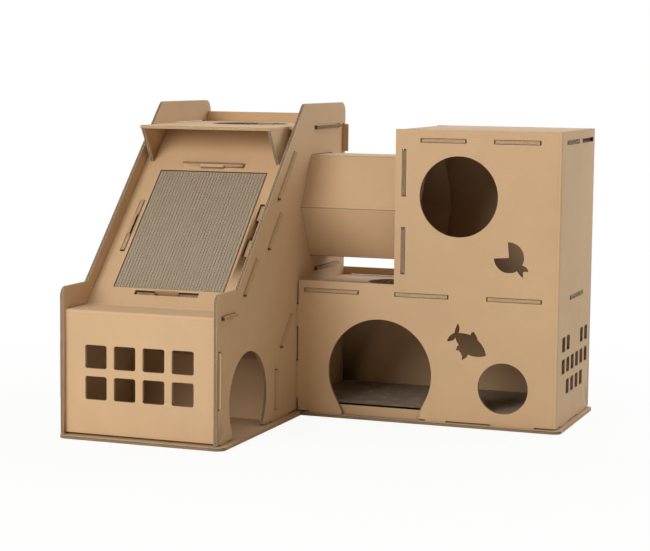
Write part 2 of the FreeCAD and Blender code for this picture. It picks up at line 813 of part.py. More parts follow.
def house_roof():
    """Lid whose folded edges hang inside the walls, with tabs turned out through them."""
    lid = block(wall_right, house_right_in, house_front_in, house_back_in, roof_under, roof_top)
    low = roof_top - lid_flange
    x0 = wall_right + lid_relief
    x1 = house_right_in - lid_relief
    y0 = house_front_in + lid_relief
    y1 = house_back_in - lid_relief
    flanges = [block(x0, x1, house_front_in, house_front_in + board, low, roof_under),
               block(x0, x1, house_back_in - board, house_back_in, low, roof_under),
               block(wall_right, wall_right + board, y0, y1, low, roof_under),
               block(house_right_in - board, house_right_in, y0, y1, low, roof_under)]
    return joined(lid, flanges + lid_bars(0.0))


def house_base():
    x0 = base_split
    x1 = house_right + base_margin_house
    y0 = house_front - base_margin_house
    y1 = house_back + base_margin_back
    outline = [(x0, y0, 0), (x1, y0, base_corner), (x1, y1, base_corner), (x0, y1, 0)]
    slots = wall_feet_x(house_front_foot_spans(), house_front, slot_play)
    slots += wall_feet_x(house_back_foot_spans(), house_back_in, slot_play)
    slots += house_side_foot_blocks(slot_play)
    slots += wall_feet_x([span((house_door_x, house_sill_slot))], house_front, slot_play)
    return cut_out(prism_xy(outline, -board, 0.0), slots)


def house_floor_pad():
    return block(floor_pad_gap, house_right_in - floor_pad_gap, house_front_in + floor_pad_gap,
                 house_back_in - floor_pad_gap, 0.0, floor_pad_thickness)


pieces = {
    "tower_left_side": tower_left_side,
    "tower_right_side": tower_right_side,
    "slide_sheet": slide_sheet,
    "slope_scratch_pad": slope_pad,
    "pad_tray": pad_tray,
    "pad_support": pad_support,
    "tower_roof_awning": tower_roof,
    "tower_rear_panel": tower_rear_panel,
    "inner_ramp": inner_ramp,
    "tower_base": tower_base,
    "tunnel": tunnel,
    "house_front_side": house_front_side,
    "house_back_panel": house_back_panel,
    "middle_floor": middle_floor,
    "upper_left_wall": upper_left_wall,
    "house_roof": house_roof,
    "house_base": house_base,
    "house_floor_pad": house_floor_pad,
}


def main():
    """Build every piece and write it in the part's own frame."""
    os.makedirs("parts", exist_ok=True)
    x_low = -tower_width - max(base_margin, tab_stand)
    x_high = house_right + base_margin_house
    y_low = -base_margin
    y_high = house_back + base_margin_back
    shift = Vector(-(x_low + x_high) / 2.0, -(y_low + y_high) / 2.0, board)
    for name, build in pieces.items():
        shape = build()
        shape.translate(shift)
        shape.exportStep(os.path.join("parts", name + ".step"))
        print(name, "solids", len(shape.Solids), "valid", shape.isValid(),
              "volume", round(shape.Volume))


main()
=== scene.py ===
"""Looks of the cardboard castle: folded double-wall board, scratching pads and the stage."""

import math

import bmesh
import bpy
from bpy.props import FloatProperty, FloatVectorProperty, IntProperty, PointerProperty
from mathutils import Matrix, Vector, noise
from mathutils.bvhtree import BVHTree
from mathutils.geometry import tessellate_polygon


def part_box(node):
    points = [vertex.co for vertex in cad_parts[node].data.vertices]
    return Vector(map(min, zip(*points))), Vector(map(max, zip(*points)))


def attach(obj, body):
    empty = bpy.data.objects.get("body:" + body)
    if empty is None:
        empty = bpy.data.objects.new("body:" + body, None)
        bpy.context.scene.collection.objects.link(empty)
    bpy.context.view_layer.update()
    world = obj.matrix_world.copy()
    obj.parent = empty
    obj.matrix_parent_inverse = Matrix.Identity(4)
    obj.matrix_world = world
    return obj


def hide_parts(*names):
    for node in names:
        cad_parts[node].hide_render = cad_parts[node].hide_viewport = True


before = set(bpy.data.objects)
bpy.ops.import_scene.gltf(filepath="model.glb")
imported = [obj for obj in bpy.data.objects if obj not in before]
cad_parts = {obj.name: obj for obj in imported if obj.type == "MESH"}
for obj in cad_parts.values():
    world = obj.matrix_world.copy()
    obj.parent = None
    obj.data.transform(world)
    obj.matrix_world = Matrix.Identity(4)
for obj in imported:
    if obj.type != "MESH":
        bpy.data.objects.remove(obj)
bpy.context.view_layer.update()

bl_info = {
    "name": "Cardboard castle",
    "version": (1, 0, 0),
    "blender": (4, 5, 0),
    "location": "3D View > Sidebar > Castle",
    "description": "Dresses the slotted sheets of a cardboard castle as corrugated board",
    "category": "Object",
}

X = Vector((1, 0, 0))
Y = Vector((0, 1, 0))
Z = Vector((0, 0, 1))

WELD = 2e-6              # corners nearer than this are one
FACET_WIDTH = 0.0055     # a facet of a rounded fold is narrower than this
FACET_LENGTH = 0.02      # and longer than this
SHORT_FOLD = 0.03        # folds shorter than this stay sharp
STRETCH = 0.02           # longest stretch of cut edge that is made at once
SLOPE_ANGLE = 45.0       # lean of the tower's slope, in degrees

# Camera of the photograph, fitted to the castle's corners
CAMERA_PLACE = (1.3726, -3.8188, 0.7789)
CAMERA_ANGLES = (0.11095823, 0.35262657, 0.01016675)
FOCAL_PIXELS = 1868.94
PHOTO_WIDTH = 650.0
SENSOR_WIDTH = 36.0

# Sheets of the castle: the axis along which the flutes repeat, and where the inner side lies
SHEETS = {
    "tower_left_side": (Z, "tower"),
    "tower_right_side": (Z, "tower"),
    "slide_sheet": (X, "tower"),
    "pad_tray": (X, "tower"),
    "pad_support": (X, "tower"),
    "tower_roof_awning": (Y, "tower"),
    "tower_rear_panel": (Z, "tower"),
    "inner_ramp": (X, "tower"),
    "tower_base": (X, "below"),
    "tunnel": (X, "middle"),
    "house_front_side": (Z, "house"),
    "house_back_panel": (Z, "house"),
    "middle_floor": (Y, "below"),
    "upper_left_wall": (Z, "house"),
    "house_roof": (Y, "house"),
    "house_base": (X, "below"),
}


def middle(node):
    low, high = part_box(node)
    return (low + high) / 2


def inner_point(node, side):
    """A point on the inner side of all the sheet's panels, from which they are seen from behind."""
    if side == "middle":
        return middle(node)
    if side == "below":
        return middle(node) - 10 * Z
    if side == "tower":
        low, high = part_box("tower_right_side")
        x = middle("slide_sheet").x
        return Vector((x, high.y - 0.12, 0.1))
    centre = middle("house_front_side")
    return Vector((middle("house_roof").x, centre.y, centre.z))


# Sizes and colours a user may change

class BoardLook(bpy.types.PropertyGroup):
    thickness: FloatProperty(
        name="Thickness", description="Board thickness, the same as the solids'",
        default=0.007, unit="LENGTH")
    liner: FloatProperty(
        name="Liner", description="Thickness of a flat liner sheet", default=0.00070, unit="LENGTH")
    medium: FloatProperty(
        name="Medium", description="Thickness of the wavy sheet", default=0.00070, unit="LENGTH")
    near_flute: FloatProperty(
        name="Near flute", description="Height of the finer flute, on the outer side",
        default=0.0026, unit="LENGTH")
    near_pitch: FloatProperty(
        name="Near pitch", description="Length of one wave of the finer flute",
        default=0.0063, unit="LENGTH")
    far_pitch: FloatProperty(
        name="Far pitch", description="Length of one wave of the coarser flute",
        default=0.0078, unit="LENGTH")
    depth: FloatProperty(
        name="Depth", description="How deep the open flutes are modelled at a cut edge",
        default=0.0060, unit="LENGTH")
    crush: FloatProperty(
        name="Crush", description="How far the wavy sheets lie back at a cut along the flutes",
        default=0.0009, unit="LENGTH")
    gap: FloatProperty(
        name="Gap", description="How far a cut edge keeps back from the sheet that it meets",
        default=0.0011, unit="LENGTH")
    reach: FloatProperty(
        name="Reach", description="A cut edge with another sheet this near is not modelled open",
        default=0.0024, unit="LENGTH")
    fold_radius: FloatProperty(
        name="Fold radius", description="Rounding of a sharp fold", default=0.003, unit="LENGTH")
    wave_steps: IntProperty(
        name="Wave steps", description="Points along one wave", default=7, min=4, max=16)
    kraft: FloatVectorProperty(
        name="Kraft", description="Colour of the flat liners", subtype="COLOR",
        default=(0.600, 0.412, 0.240))
    # The wavy sheets' kraft darkened as painted shade inside the open flutes; their cut ends at the
    # face take the pale colour
    medium_shade_colour: FloatVectorProperty(
        name="Medium colour", description="Colour of the wavy sheets", subtype="COLOR",
        default=(0.130, 0.083, 0.050))
    # Dark: partly the cut edge's own colour, partly painted shade of the open flutes and the gap
    # that a flat hidden edge does not model
    edge: FloatVectorProperty(
        name="Edge colour", description="Colour of pressed or hidden cut edges", subtype="COLOR",
        default=(0.150, 0.092, 0.052))
    pale: FloatVectorProperty(
        name="Pale edge", description="Colour of the liners' cut ends", subtype="COLOR",
        default=(0.620, 0.470, 0.320))


class PadLook(bpy.types.PropertyGroup):
    strip: FloatProperty(
        name="Strip", description="Thickness of one glued strip", default=0.007, unit="LENGTH")
    open_depth: FloatProperty(
        name="Open depth", description="How deep the open cells are modelled",
        default=0.0045, unit="LENGTH")
    # The cells' kraft darkened as painted shade inside the open cells; their rims at the face take
    # the rim colour
    cell_shade_colour: FloatVectorProperty(
        name="Cell colour", description="Colour inside the open cells", subtype="COLOR",
        default=(0.150, 0.110, 0.078))
    rim_colour: FloatVectorProperty(
        name="Rim colour", description="Colour of the cells' edges", subtype="COLOR",
        default=(0.760, 0.640, 0.480))


class StageLook(bpy.types.PropertyGroup):
    key: FloatProperty(name="Key", description="Power of the front light", default=108.0)
    top: FloatProperty(name="Top", description="Power of the overhead light", default=52.0)
    side: FloatProperty(name="Side", description="Power of the light behind the right", default=56.0)
    world: FloatProperty(name="World", description="Strength of the surroundings", default=0.34)
    warm: FloatVectorProperty(
        name="Warm", description="Colour of the light from the surroundings", subtype="COLOR",
        default=(1.0, 0.82, 0.62))
    cool: FloatVectorProperty(
        name="Cool", description="Colour of the overhead and the side light", subtype="COLOR",
        default=(0.88, 1.0, 1.14))


# Material nodes

class Link:
    """A socket that takes part in sums; each sum adds its Math node."""

    def __init__(self, finish, socket):
        self.finish = finish
        self.socket = socket

    def maths(self, operation, first, second):
        return self.finish.node("ShaderNodeMath", {"operation": operation}, {0: first, 1: second})

    def __add__(self, other):
        return self.maths("ADD", self, other)

    def __sub__(self, other):
        return self.maths("SUBTRACT", self, other)

    def __mul__(self, other):
        return self.maths("MULTIPLY", self, other)

    def __abs__(self):
        return self.maths("ABSOLUTE", self, 0.0)


class Finish:
    """A material that is being made."""

    def __init__(self, name):
        self.material = bpy.data.materials.new(name)
        self.material.use_nodes = True
        self.tree = self.material.node_tree
        self.shader = self.tree.nodes["Principled BSDF"]
        coordinates = self.tree.nodes.new("ShaderNodeTexCoord")
        self.place = Link(self, coordinates.outputs["Object"])

    def node(self, kind, settings=None, values=None, output=0):
        """Adds one node: its settings first, then the values or links of its sockets."""
        made = self.tree.nodes.new(kind)
        for name, value in (settings or {}).items():
            setattr(made, name, value)
        for key, value in (values or {}).items():
            socket = made.inputs[key]
            if isinstance(value, Link):
                self.tree.links.new(value.socket, socket)
            else:
                socket.default_value = value
        return Link(self, made.outputs[output])

    def noise(self, scale, detail, roughness, seed, stretch=None):
        place = self.place
        if stretch:
            place = self.node("ShaderNodeMapping", None, {"Vector": place, "Scale": stretch})
        return self.node("ShaderNodeTexNoise", {"noise_dimensions": "4D"},
                         {"Vector": place, "W": seed, "Scale": scale, "Detail": detail,
                          "Roughness": roughness})

    def span(self, value, low, high, start=0.0, end=1.0, smooth=True):
        """Maps value from low..high to start..end and stops there."""
        return self.node("ShaderNodeMapRange",
                         {"interpolation_type": "SMOOTHSTEP" if smooth else "LINEAR",
                          "clamp": True},
                         {"Value": value, "From Min": low, "From Max": high,
                          "To Min": start, "To Max": end})

    def tint(self, mask, first, second):
        made = self.tree.nodes.new("ShaderNodeMix")
        made.data_type = "RGBA"
        self.tree.links.new(mask.socket, made.inputs[0])
        for key, colour in ((6, first), (7, second)):
            if isinstance(colour, Link):
                self.tree.links.new(colour.socket, made.inputs[key])
            else:
                made.inputs[key].default_value = (*colour, 1.0)
        return Link(self, made.outputs[2])

    def vector(self, operation, first, second, output=0):
        return self.node("ShaderNodeVectorMath", {"operation": operation},
                         {0: first, 1: second}, output)

    def away(self, point, direction, length):
        """Distance from a stretch of line, and how far along it the nearest point is."""
        offset = self.vector("SUBTRACT", self.place, tuple(point))
        along = self.vector("DOT_PRODUCT", offset, tuple(direction), "Value")
        along = self.span(along, 0.0, length, 0.0, length, smooth=False)
        foot = self.node("ShaderNodeVectorMath", {"operation": "SCALE"},
                         {0: tuple(direction), "Scale": along})
        across = self.vector("SUBTRACT", offset, foot)
        return self.vector("LENGTH", across, (0, 0, 0), "Value"), along

    def bump(self, height, distance, strength):
        return self.node("ShaderNodeBump", None,
                         {"Height": height, "Distance": distance, "Strength": strength})

    def wire(self, socket, value):
        if isinstance(value, Link):
            self.tree.links.new(value.socket, self.shader.inputs[socket])
        elif socket == "Base Color":
            self.shader.inputs[socket].default_value = (*value, 1.0)
        else:
            self.shader.inputs[socket].default_value = value


def scaled(colour, factor):
    return tuple(channel * factor for channel in colour)


def kraft_finish(name, colour, axis, folds, seed, pitch, perforated=False):
    """Matt kraft liner: fibres, faint flute lines of painted shade, pale pressed lines along the
    folds that are partly the crushed liner's own paler colour and partly painted highlight, painted
    shade in the dents beside them, and, where perforated, slits of painted shade.
    """
    finish = Finish(name)
    clouds = finish.noise(3.5, 3.0, 0.55, seed=seed)
    blotches = finish.noise(22.0, 4.0, 0.6, seed=seed + 3.1)
    along = tuple(2.2 if abs(c) < 0.5 else 0.5 for c in axis)
    fibres = finish.noise(260.0, 3.0, 0.65, stretch=along, seed=seed + 7.7)
    specks = finish.noise(900.0, 1.0, 0.5, seed=seed + 9.3)
    spread = clouds * 0.5 + blotches * 0.3 + fibres * 0.2
    tone = finish.span(spread, 0.35, 0.65, smooth=False)
    base = finish.tint(tone, scaled(colour, 0.93), scaled(colour, 1.06))
    flecks = finish.span(specks, 0.62, 0.72)
    base = finish.tint(flecks * 0.25, base, scaled(colour, 0.72))

    # The flutes show through the liner as a faint washboard: its relief goes to the bump, and its
    # faint darker lines in the colour are painted shade.
    phase = finish.vector("DOT_PRODUCT", finish.place, tuple(axis), "Value")
    wave = finish.node("ShaderNodeMath", {"operation": "SINE"},
                       {0: phase * (2 * math.pi / pitch)})
    ripple = wave * 0.5 + 0.5
    # Painted shade of the washboard: faint darker lines, one to each wave
    base = finish.tint(ripple * 0.10, base, scaled(colour, 0.80))
    height = ripple * 0.16 + fibres * 0.12

    press = None
    slit = None
    for point, direction, length in folds:
        distance, along = finish.away(point, direction, length)
        wander = distance + (blotches - 0.5) * 0.002
        ridge = finish.span(wander, 0.0022, 0.0048, 1.0, 0.0)
        dent = finish.span(abs(distance - 0.0065), 0.0, 0.0025, 1.0, 0.0)
        line = ridge - dent * 0.4
        press = line if press is None else press + line
        if perforated:
            turn = finish.node("ShaderNodeMath", {"operation": "SINE"},
                               {0: along * (2 * math.pi / pitch)})
            reach = finish.span(distance, 0.0011, 0.0016, 1.0, 0.0)
            cut = reach * finish.span(turn, -0.35, 0.05)
            slit = cut if slit is None else slit + cut
    if press is not None:
        # A pale line on the fold, partly the crushed liner's own paler colour and partly painted
        # highlight on the fold's round
        pale = finish.span(press, 0.0, 1.0)
        base = finish.tint(pale * 0.30, base, scaled(colour, 1.18))
        # Painted shade in the dent a little way off each fold
        painted_dent_shade = finish.span(press, -0.4, 0.0, 1.0, 0.0)
        base = finish.tint(painted_dent_shade * 0.15, base, scaled(colour, 0.72))
        height = height + press * 0.5
    # The perforation's slits are painted nearly black: painted shade in the cuts, with the bump sunk
    # there
    if slit is not None:
        base = finish.tint(finish.span(slit, 0.0, 1.0), base, scaled(colour, 0.16))
        height = height - slit * 1.2
    finish.wire("Base Color", base)
    finish.wire("Roughness", finish.span(fibres, 0.3, 0.7, 0.66, 0.80))
    finish.wire("Normal", finish.bump(height, 0.0006, 0.6))
    finish.wire("Specular IOR Level", 0.35)
    return finish.material


def edge_finish(name, colour, seed):
    """Cut or pressed edge of the board, darker and rougher than the liners."""
    finish = Finish(name)
    grain = finish.noise(420.0, 3.0, 0.7, seed=seed)
    base = finish.tint(finish.span(grain, 0.35, 0.65), scaled(colour, 0.75),
                       scaled(colour, 1.15))
    finish.wire("Base Color", base)
    finish.wire("Roughness", 0.9)
    finish.wire("Normal", finish.bump(grain, 0.0004, 0.7))
    finish.wire("Specular IOR Level", 0.2)
    return finish.material


# Building corrugated board from the solids' panels

def welded(node):
    """The node's mesh with whole flat faces."""
    shape = bmesh.new()
    shape.from_mesh(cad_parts[node].data)
    bmesh.ops.remove_doubles(shape, verts=shape.verts, dist=WELD)
    bmesh.ops.dissolve_limit(shape, angle_limit=math.radians(0.4), verts=shape.verts,
                             edges=shape.edges)
    return shape


def between_liners(face, thickness):
    """Whether a face is a cut edge: as wide as the board, with a flat side at each border."""
    longest = max(edge.calc_length() for edge in face.edges)
    if face.calc_area() / longest > 1.3 * thickness:
        return False
    sides = []
    for edge in face.edges:
        for other in edge.link_faces:
            if other is not face and abs(other.normal.dot(face.normal)) < 0.35:
                sides.append((other.normal, edge.verts[0].co.dot(other.normal)))
    for normal, level in sides:
        for other, reach in sides:
            if normal.dot(other) < -0.95 and abs(level + reach - thickness) < 0.08 * thickness:
                return True
    return False


def joined_facets(shape, found):
    """Adds the facets of folds that lie between liners and were missed."""
    grown = True
    while grown:
        grown = False
        for face in shape.faces:
            if face.index in found or not narrow(face):
                continue
            longest = max(edge.calc_length() for edge in face.edges)
            for edge in face.edges:
                if edge.calc_length() < 0.6 * longest:
                    continue
                for other in edge.link_faces:
                    if (other is not face and other.index in found
                            and face.normal.angle(other.normal, 3.0) < math.radians(35)):
                        found.add(face.index)
                        grown = True


def sheet_faces(shape, thickness):
    """Faces that have the board's own thickness under them, so liners and not cut edges."""
    shape.normal_update()
    whole = shape.copy()
    bmesh.ops.triangulate(whole, faces=whole.faces)
    tree = BVHTree.FromBMesh(whole)
    found = set()
    for face in shape.faces:
        if between_liners(face, thickness):
            continue
        thin = solid = 0.0
        corners = [v.co for v in face.verts]
        for a, b, c in _triangles(corners, face.normal):
            area = (b - a).cross(c - a).length
            middle_point = (a + b + c) / 3
            hit = tree.ray_cast(middle_point - face.normal * 2e-5, -face.normal)
            depth = hit[3] if hit[0] is not None else 9.0
            if 0.75 * thickness < depth < 1.6 * thickness:
                thin += area
            else:
                solid += area
        if thin > solid:
            found.add(face.index)
    whole.free()
    joined_facets(shape, found)
    return found


def _triangles(corners, normal):
    """Triangles of a flat polygon."""
    for triple in tessellate_polygon([corners]):
        yield [corners[i] for i in triple]


def narrow(face):
    """Whether a face is one facet of a rounded fold."""
    longest = max(edge.calc_length() for edge in face.edges)
    return longest > FACET_LENGTH and face.calc_area() / longest < FACET_WIDTH


def rounded_folds(shape, liners, radius):
    """Rounds the sharp folds of a sheet."""
    sharp = []
    for edge in shape.edges:
        if len(edge.link_faces) != 2:
            continue
        first, second = edge.link_faces
        if first.index not in liners or second.index not in liners:
            continue
        if first.normal.angle(second.normal, 0.0) < math.radians(40):
            continue
        if edge.calc_length() < SHORT_FOLD or narrow(first) or narrow(second):
            continue
        sharp.append(edge)
    if sharp:
        bmesh.ops.bevel(shape, geom=sharp, offset=radius, segments=3, profile=0.5,
                        affect="EDGES", clamp_overlap=True)
        shape.faces.index_update()
        shape.normal_update()


def pressed_lines(shape, liners, inside):
    """Where folds run on the outer side: a start point, a direction and a length for each."""
    runs = []
    for face in shape.faces:
        centre = face.calc_center_median()
        if face.index not in liners or not narrow(face):
            continue
        if face.normal.dot(centre - inside) <= 0:
            continue
        longest = max(face.edges, key=lambda edge: edge.calc_length())
        a, b = (vert.co.copy() for vert in longest.verts)
        direction = (b - a).normalized()
        half = (b - a).length / 2
        for way, centres, halves in runs:
            offset = centre - centres[0]
            if abs(way.dot(direction)) > 0.999 and offset.cross(way).length < 0.009:
                centres.append(centre)
                halves.append(half)
                break
        else:
            runs.append((direction, [centre], [half]))
    lines = []
    for way, centres, halves in runs:
        centre = sum(centres, Vector()) / len(centres)
        lines.append((centre - way * max(halves), way, 2 * max(halves)))
    return lines


def relieved(shape, liners, neighbours, reach, gap):
    """Draws the cut walls that stand close to another sheet back, so that a dark gap shows."""
    walls = {}
    for face in shape.faces:
        if face.index in liners:
            continue
        centre = face.calc_center_median()
        if neighbours.ray_cast(centre + face.normal * 1e-4, face.normal, reach)[0] is None:
            continue
        for vert in face.verts:
            normals = walls.setdefault(vert, [])
            if all(face.normal.dot(other) < 0.95 for other in normals):
                normals.append(face.normal.copy())
    for vert, normals in walls.items():
        if len(normals) == 1:
            vert.co -= normals[0] * gap
        elif len(normals) == 2:
            vert.co -= mitred(*normals) * gap
    shape.normal_update()


class Parcel:
    """Vertices and faces that are gathered before they become a mesh."""

    def __init__(self):
        self.points = []
        self.faces = []
        self.slots = []
        self.smooth = []

    def face(self, corners, slot=0, smooth=False):
        start = len(self.points)
        self.points.extend(corners)
        self.faces.append(tuple(range(start, start + len(corners))))
        self.slots.append(slot)
        self.smooth.append(smooth)

    def strip(self, rows, slot=0, smooth=True):
        """Quads between rows of points of one length."""
        start = len(self.points)
        width = len(rows[0])
        for row in rows:
            self.points.extend(row)
        for i in range(len(rows) - 1):
            for j in range(width - 1):
                a = start + i * width + j
                self.faces.append((a, a + 1, a + width + 1, a + width))
                self.slots.append(slot)
                self.smooth.append(smooth)

    def made(self, name, materials):
        mesh = bpy.data.meshes.new(name)
        mesh.from_pydata([tuple(p) for p in self.points], [], self.faces)
        mesh.polygons.foreach_set("material_index", self.slots)
        mesh.polygons.foreach_set("use_smooth", self.smooth)
        for material in materials:
            mesh.materials.append(material)
        mesh.update()
        piece = bpy.data.objects.new(name, mesh)
        bpy.context.scene.collection.objects.link(piece)
        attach(piece, "root")
        return piece


def mitred(first, second):
    """The offset that moves a corner one unit along both directions."""
    shared = 1.0 + first.dot(second)
    if shared < 0.25:
        return first
    return (first + second) / shared


def rim_edges(shape, liners, inside):
    """Outer edges of the panels at which the board is cut: ends, panel and cut directions."""
    rims = []
    for edge in shape.edges:
        if len(edge.link_faces) != 2:
            continue
        one, two = edge.link_faces
        if (one.index in liners) == (two.index in liners):
            continue
        liner, cut = (one, two) if one.index in liners else (two, one)
        if abs(liner.normal.dot(cut.normal)) > 0.35:
            continue
        a, b = (v.co.copy() for v in edge.verts)
        if liner.normal.dot((a + b) / 2 - inside) <= 0:
            continue
        rims.append((edge.verts[0].index, edge.verts[1].index, a, b,
                     liner.normal.copy(), cut.normal.copy()))
    return rims


def corner_offsets(rims):
    """For each end of each rim edge, the directions through the board and out of the cut."""
    around = {}
    for index, rim in enumerate(rims):
        for end in (0, 1):
            around.setdefault(rim[end], []).append(index)
    offsets = []
    for index, rim in enumerate(rims):
        ends = []
        for end in (0, 1):
            others = [i for i in around[rim[end]] if i != index]
            if len(others) == 1:
                other = rims[others[0]]
                ends.append((mitred(rim[4], other[4]), mitred(rim[5], other[5])))
            else:
                ends.append((rim[4], rim[5]))
        offsets.append(ends)
    return offsets


def open_flutes(look, parcel, axis, ends, offsets):
    """One stretch of cut edge: three liner edges with two wavy sheets between them."""
    a, b = ends
    (panel_a, cut_a), (panel_b, cut_b) = offsets
    total = look.thickness
    liner = look.liner
    near_low, near_high = liner, liner + look.near_flute
    far_low, far_high = near_high + liner * 0.85, total - liner

    def at(share, height, depth):
        point = a.lerp(b, share)
        return (point - panel_a.lerp(panel_b, share) * height
                - cut_a.lerp(cut_b, share) * depth)

    depth = look.depth
    for low, high in ((0.0, near_low), (near_high, far_low), (far_high, total)):
        parcel.strip([[at(0, low, 0), at(0, high, 0)], [at(1, low, 0), at(1, high, 0)]],
                     slot=1, smooth=False)
    # Slot 0, the dark medium colour, is painted shade on the cavity walls and the wavy sheets
    for low, high in ((near_low, near_high), (far_low, far_high)):
        for height in (low, high):
            parcel.strip([[at(0, height, 0), at(0, height, depth)],
                          [at(1, height, 0), at(1, height, depth)]], slot=0, smooth=False)
        parcel.strip([[at(0, low, depth), at(0, high, depth)],
                      [at(1, low, depth), at(1, high, depth)]], slot=0, smooth=False)

    length = (b - a).length
    crossing = abs((b - a).normalized().dot(axis))
    for low, high, pitch, start in ((near_low, near_high, look.near_pitch, 0.0),
                                    (far_low, far_high, look.far_pitch, 1.9)):
        steps = max(1, math.ceil(length * crossing / pitch * look.wave_steps))
        inward = 1
        centre = (low + high) / 2
        swing = (high - low) / 2 - look.medium / 2

        def height_at(point):
            drift = noise.noise(point * 9.0) * 0.5
            wave = math.sin(2 * math.pi * point.dot(axis) / pitch + start + drift)
            return centre + swing * wave * (0.94 + 0.10 * noise.noise(point * 60.0))

        upper = []
        lower = []
        for i in range(steps + 1):
            share = i / steps
            top_row = []
            low_row = []
            for j in range(inward + 1):
                d = 0.0001 + (depth - 0.0002) * j / inward
                height = height_at(at(share, centre, d))
                top_row.append(at(share, height - look.medium / 2, d))
                low_row.append(at(share, height + look.medium / 2, d))
            upper.append(top_row)
            lower.append(low_row)
        parcel.strip(upper, slot=0)
        parcel.strip(lower, slot=0)
        parcel.strip([[u[0], w[0]] for u, w in zip(upper, lower)], slot=1, smooth=False)


def pressed_edge(look, parcel, ends, offsets):
    """A stretch of edge cut along the flutes: liner ends, with the wavy sheets crushed between."""
    a, b = ends
    (panel_a, cut_a), (panel_b, cut_b) = offsets
    total = look.thickness
    liner = look.liner * 1.3
    near_high = look.liner + look.near_flute
    centre = near_high + liner * 0.3
    profile = ((0.0, 0.0), (liner, 0.0), (liner * 2, 1.0), (near_high - liner, 0.85),
               (centre - liner * 0.5, 0.1), (centre + liner * 0.5, 0.1),
               (centre + liner * 1.6, 0.9), (total - liner * 2, 1.0), (total - liner, 0.0),
               (total, 0.0))
    rows = []
    for share in (0.0, 0.5, 1.0):
        point = a.lerp(b, share)
        panel = panel_a.lerp(panel_b, share)
        cut = cut_a.lerp(cut_b, share)
        crush = look.crush * (1.0 + 0.5 * noise.noise(point * 55.0))
        rows.append([point - panel * height - cut * crush * depth for height, depth in profile])
    for first, last, slot in ((0, 1, 1), (1, 4, 2), (4, 5, 1), (5, 8, 2), (8, 9, 1)):
        parcel.strip([row[first:last + 1] for row in rows], slot=slot, smooth=False)


def other_boards(node):
    """Search tree of every solid but this one."""
    points = []
    faces = []
    for name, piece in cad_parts.items():
        if name == node:
            continue
        start = len(points)
        points.extend(v.co.copy() for v in piece.data.vertices)
        faces.extend(tuple(start + i for i in p.vertices) for p in piece.data.polygons)
    return BVHTree.FromPolygons(points, faces)


def corrugated_sheet(look, node, axis, side, seed):
    """The node as folded board: liners with rounded folds, and open flutes at its cut edges."""
    inside = inner_point(node, side)
    shape = welded(node)
    rounded_folds(shape, sheet_faces(shape, look.thickness), look.fold_radius)
    liners = sheet_faces(shape, look.thickness)
    neighbours = other_boards(node)
    relieved(shape, liners, neighbours, look.reach, look.gap)
    folds = pressed_lines(shape, liners, inside)
    shape.verts.index_update()
    rims = rim_edges(shape, liners, inside)
    offsets = corner_offsets(rims)

    flat = Parcel()
    for face in shape.faces:
        if face.index in liners:
            flat.face([v.co.copy() for v in face.verts], smooth=narrow(face))
    open_edge = Parcel()
    for rim, ends in zip(rims, offsets):
        a, b, panel, cut = rim[2:]
        length = (b - a).length
        if length < 1e-5:
            continue
        crosses = abs((b - a).normalized().dot(axis)) > 0.2
        pieces = max(1, math.ceil(length / STRETCH))
        for i in range(pieces):
            t0, t1 = i / pieces, (i + 1) / pieces
            start, stop = a.lerp(b, t0), a.lerp(b, t1)
            parts = [(ends[0][0].lerp(ends[1][0], t), ends[0][1].lerp(ends[1][1], t))
                     for t in (t0, t1)]
            heart = (start + stop) / 2 - panel * look.thickness / 2 + cut * 1e-4
            hit = neighbours.ray_cast(heart, cut, look.reach + look.gap)
            if hit[0] is not None:
                # A flat hidden edge in the dark edge colour, which is partly painted shade of its
                # unmodelled open flutes
                flat.face([start, stop, stop - parts[1][0] * look.thickness,
                           start - parts[0][0] * look.thickness], slot=1)
            elif crosses:
                open_flutes(look, open_edge, axis, (start, stop), parts)
            else:
                pressed_edge(look, open_edge, (start, stop), parts)
    shape.free()
    liner = kraft_finish(node + "_liner", tuple(look.kraft), axis, folds, seed, look.near_pitch,
                         perforated=node == "tunnel")
    edge = edge_finish(node + "_edge", tuple(look.edge), seed)
    board = flat.made(node + "_board", [liner, edge])
    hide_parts(node)
    weld(board)
    if open_edge.faces:
        # The flutes' walls and wavy sheets take the medium colour, darkened as painted shade inside
        # the cavities
        medium = edge_finish(node + "_medium", tuple(look.medium_shade_colour), seed + 1.0)
        ends = edge_finish(node + "_liner_ends", tuple(look.pale), seed + 2.0)
        crushed = edge_finish(node + "_crushed", scaled(tuple(look.kraft), 0.85), seed + 4.0)
        flutes = open_edge.made(node + "_flutes", [medium, ends, crushed])


def weld(piece):
    """Joins the shared corners, and keeps the fold lines soft and the cut edges sharp."""
    shape = bmesh.new()
    shape.from_mesh(piece.data)
    bmesh.ops.remove_doubles(shape, verts=shape.verts, dist=1e-6)
    shape.to_mesh(piece.data)
    shape.free()
    piece.data.set_sharp_from_angle(angle=math.radians(35))


# Scratching pads

